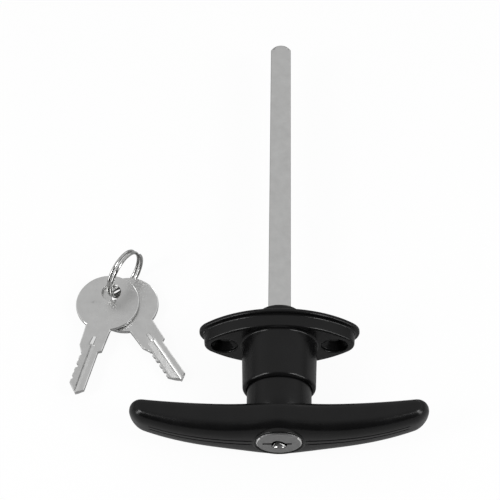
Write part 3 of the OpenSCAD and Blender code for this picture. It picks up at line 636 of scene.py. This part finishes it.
def fold_ridge(base):
    buried = [(0.9, -0.05), (0.8, -0.05), (0.65, -0.05), (0.5, -0.05), (0, -0.05)]
    lip = [(2.0, -0.02), (1.3, 0.18), (0.8, 0.5), (0.55, 0.9), (0, 0.92)]
    buried, lip = [half + [(-x, z) for x, z in half[-2::-1]] for half in (buried, lip)]
    ridge = [(2.0, -0.02), (1.2, 0.18), (0.6, 0.51), (0.3, 0.68), (0, FOLD),
             (-0.3, 0.62), (-0.6, 0.51), (-1.2, 0.28), (-2.0, -0.02)]
    rings = []
    for y, top in ((LIP_START, buried), (LIP_END, lip), (LIP_END - 0.5, ridge), (-BLADE - 1.3, ridge)):
        section = top + [(top[-1][0], -0.3), (top[0][0], -0.3)]
        # The order round the section settles which way the lip's slanted facets are split.
        rings.append([(x, -SHOULDER + y, base + z) for x, z in reversed(section)])
    return lofted(rings)


def key_blank():
    tip = -SHOULDER - BLADE
    head = upright([(0, 0), (HEAD_R - EDGE_R, 0), (HEAD_R - 0.1, 0.1), (HEAD_R, EDGE_R), (HEAD_R, KEY_T - EDGE_R),
                    (HEAD_R - 0.1, KEY_T - 0.1), (HEAD_R - EDGE_R, KEY_T), (0, KEY_T)], -HOLE_TO_HEAD, 128)
    blade = prism([(-5.2, -HOLE_TO_HEAD), (-4.4, -SHOULDER + 1), (-3.0, -SHOULDER - 1.6), (-3.0, tip + 3.9),
                   (0.4, tip), (3.0, tip + 2), (3.0, -SHOULDER - 0.6), (4.2, -SHOULDER + 0.1),
                   (4.9, -HOLE_TO_HEAD)], 0, KEY_T)
    rims = [e for e in blade.edges if abs(e.verts[0].co.z - e.verts[1].co.z) < 0.1]
    bmesh.ops.bevel(blade, geom=rims, offset=EDGE_R, offset_type="OFFSET", affect="EDGES",
                    segments=2, profile=0.5, material=-1)
    cutters = [upright([(0, -1), (4.3, -1), (HOLE_R, 0.16), (HOLE_R, KEY_T - 0.16), (4.3, KEY_T + 1),
                        (0, KEY_T + 1)], 0, 64)]
    for k, cut in enumerate(CUTS):
        x, y = -3.0 + CUT_STEP * cut, -SHOULDER - FIRST_CUT - WAFER_PITCH * k
        cutters.append(prism([(-4.0, y - 1.5), (x, y - 0.4), (x, y + 0.4), (-4.0, y + 1.5)], -1, 4))
    outline = combined(head, "UNION", [settle(blade)])
    outline = combined(outline, "DIFFERENCE", cutters + [fold_ridge(0)])
    keep = prism([(-2.8, tip + 4.2), (0.4, tip + 0.3), (2.8, tip + 2.2), (2.8, 0), (-2.8, 0)], 0, 4)
    outline = combined(outline, "UNION", [combined(fold_ridge(KEY_T), "INTERSECT", [keep])])
    # Painted highlights go on the lip at the start of the fold, on one flank and on slightly tilted faces such as
    # the edge bevels. Painted shade goes on a thin line beside the ridge.
    painted_light = outline.faces.layers.float.new("painted_light")
    for face in outline.faces:
        middle = face.calc_center_median()
        if middle.z > KEY_T + 0.02 and middle.y > -SHOULDER + LIP_END:
            face[painted_light] = 1.0 if abs(middle.x) < 0.5 else 0.0
        elif middle.z > KEY_T + 0.02:
            face[painted_light] = -0.25 if 0 < middle.x < 0.3 else FLANK if 0.3 < middle.x < 0.6 else 0.0
        elif 0.8 < face.normal.z < 0.99:
            face[painted_light] = 0.4
    return outline


def laid_key(at_x, at_y, z, turn, flank):
    bm = blank.copy()
    painted_light = bm.faces.layers.float["painted_light"]
    # The flank's mark becomes this key's own painted highlight.
    for face in bm.faces:
        if face[painted_light] == FLANK:
            face[painted_light] = flank
    place = (Matrix.Translation((*KEY_SET, z)) @ Matrix.Rotation(KEY_AZIMUTH, 4, "Z")
             @ Matrix.Translation((at_x, at_y, 0)) @ Matrix.Rotation(math.radians(turn) - KEY_AZIMUTH, 4, "Z"))
    bmesh.ops.transform(bm, matrix=place, verts=bm.verts)
    return bm


blank = settle(key_blank())
# The lower key gets a painted highlight on its right flank, and the upper key none.
piece(laid_key(-6.8, 1.6, -12.35, -13.7, 0.0),
      "upper_key_blank", "upper_key", "upper_key", "key_metal", sharp=12)
piece(laid_key(-5.55, -1.5, -13.95, 34.0, 0.65),
      "lower_key_blank", "lower_key", "lower_key", "key_metal", sharp=12)

# %% [markdown]
# The split ring is a wire wound twice round, and each turn rises by a little more than the wire's thickness.
# Spinning a small circle with a step along the axis winds the wire, and filling the ends closes it.

# %% Split ring
RING_R, WIRE_R, RING_RISE, TURN_STEPS = 8.82, 0.58, 1.45, 96
ring = bmesh.new()
wire = bmesh.ops.create_circle(ring, segments=20, radius=WIRE_R)["verts"]
bmesh.ops.rotate(ring, cent=(0, 0, 0), matrix=Matrix.Rotation(math.radians(90), 3, "X"), verts=wire)
bmesh.ops.translate(ring, vec=(RING_R, 0, -RING_RISE), verts=wire)
bmesh.ops.spin(ring, geom=wire + ring.edges[:], cent=(0, 0, 0), axis=(0, 0, 1),
               dvec=(0, 0, RING_RISE / TURN_STEPS), angle=2 * math.tau, steps=2 * TURN_STEPS)
bmesh.ops.holes_fill(ring, edges=[e for e in ring.edges if e.is_boundary])
place = (Matrix.Translation((*KEY_SET, -6.6)) @ Matrix.Rotation(KEY_AZIMUTH, 4, "Z")
         @ Matrix.Rotation(math.radians(90), 4, "X") @ Matrix.Rotation(math.radians(20), 4, "Z"))
bmesh.ops.transform(ring, matrix=place, verts=ring.verts)
piece(ring, "split_ring_wire", "key_ring", "split_ring", "nickel_wire")

# %% [markdown]
# The floor is a wide pale sheet at the level that plate and keys rest on.
# To the camera it shines white, and a part of it stays plain paint that takes the shadows.

# %% Floor
def stage_sheet(name, size, place):
    bm = bmesh.new()
    bmesh.ops.create_grid(bm, x_segments=1, y_segments=1, size=size)
    bmesh.ops.transform(bm, matrix=place, verts=bm.verts)
    mesh = bpy.data.meshes.new(name)
    bm.to_mesh(mesh)
    bm.free()
    made = bpy.data.objects.new(name, mesh)
    scene.collection.objects.link(made)
    material = bpy.data.materials.new(name + "_paint")
    material.use_nodes = True
    material.node_tree.nodes.clear()
    mesh.materials.append(material)
    return material


FLOOR_GREY, FLOOR_GLOW, SEEN_SHARE, MIRROR_SHARE = 0.42, 1.07, 0.88, 0.1
paper = stage_sheet("studio_floor", 3, Matrix.Translation((0, 0, FLOOR_Z)))
output = node(paper, "ShaderNodeOutputMaterial")
paint = node(paper, "ShaderNodeBsdfDiffuse", Color=(FLOOR_GREY, FLOOR_GREY, FLOOR_GREY, 1))
glow = node(paper, "ShaderNodeEmission", Strength=FLOOR_GLOW)
path = node(paper, "ShaderNodeLightPath")
seen = node(paper, "ShaderNodeMath", operation="MULTIPLY")
seen.inputs[1].default_value = SEEN_SHARE
mirrored = node(paper, "ShaderNodeMath", operation="ADD")
share = node(paper, "ShaderNodeMath", operation="MULTIPLY_ADD")
share.inputs[1].default_value = MIRROR_SHARE
mix = node(paper, "ShaderNodeMixShader")
link(paper, path.outputs["Is Camera Ray"], seen.inputs[0])
link(paper, path.outputs["Is Glossy Ray"], mirrored.inputs[0])
link(paper, path.outputs["Is Transmission Ray"], mirrored.inputs[1])
link(paper, mirrored.outputs[0], share.inputs[0])
link(paper, seen.outputs[0], share.inputs[2])
link(paper, share.outputs[0], mix.inputs["Fac"])
link(paper, paint.outputs[0], mix.inputs[1])
link(paper, glow.outputs[0], mix.inputs[2])
link(paper, mix.outputs[0], output.inputs["Surface"])
print("stage pieces: floor")

# %% [markdown]
# The light is a pale room, darker towards the front, so that the front of the enamel stays black.
# On each side a small box high up and a strip lower down draw the thin bright lines along the enamel's
# rounded edges, and a white card behind the lock lights the fold of the lower key, whose flank also carries a
# painted highlight.

# %% Light
world = bpy.data.worlds.new("studio")
world.use_nodes = True
room = world.node_tree.nodes["Background"]
room.inputs["Color"].default_value = (1, 1, 1, 1)
way = node(world, "ShaderNodeTexCoord")
parts = node(world, "ShaderNodeSeparateXYZ")
link(world, way.outputs["Generated"], parts.inputs["Vector"])
height = node(world, "ShaderNodeMath", operation="MULTIPLY")
white = node(world, "ShaderNodeMath", operation="MAXIMUM")
path = node(world, "ShaderNodeLightPath")
spread(world, parts.outputs["Y"], 0.1, 0.74, height.inputs[0], -0.4, 0.15)
spread(world, parts.outputs["Z"], 0.5, 1.0, height.inputs[1], 0.05, 0.4)
link(world, height.outputs[0], white.inputs[0])
link(world, path.outputs["Is Camera Ray"], white.inputs[1])
link(world, white.outputs[0], room.inputs["Strength"])
scene.world = world


def soft_box(name, location, target, size_x, size_y, power):
    lamp = bpy.data.lights.new(name, "AREA")
    lamp.shape = "RECTANGLE"
    lamp.size, lamp.size_y, lamp.energy = size_x, size_y, power
    made = bpy.data.objects.new(name, lamp)
    made.location = location
    way = Vector(target) - made.location
    made.rotation_euler = way.to_track_quat("-Z", "Y").to_euler()
    scene.collection.objects.link(made)


soft_box("fold_card", (0.6, 1.2, 0.4), (0, 0, 0), 0.45, 0.4, 0.8)
for side in (-1, 1):
    soft_box("high_box", (0.5 * side, -0.22, 0.5), (0, -0.02, 0), 0.22, 0.22, 1.9)
    soft_box("low_strip", (0.62 * side, -0.3, 0.2), (0, -0.02, 0), 0.18, 0.34, 1.3)
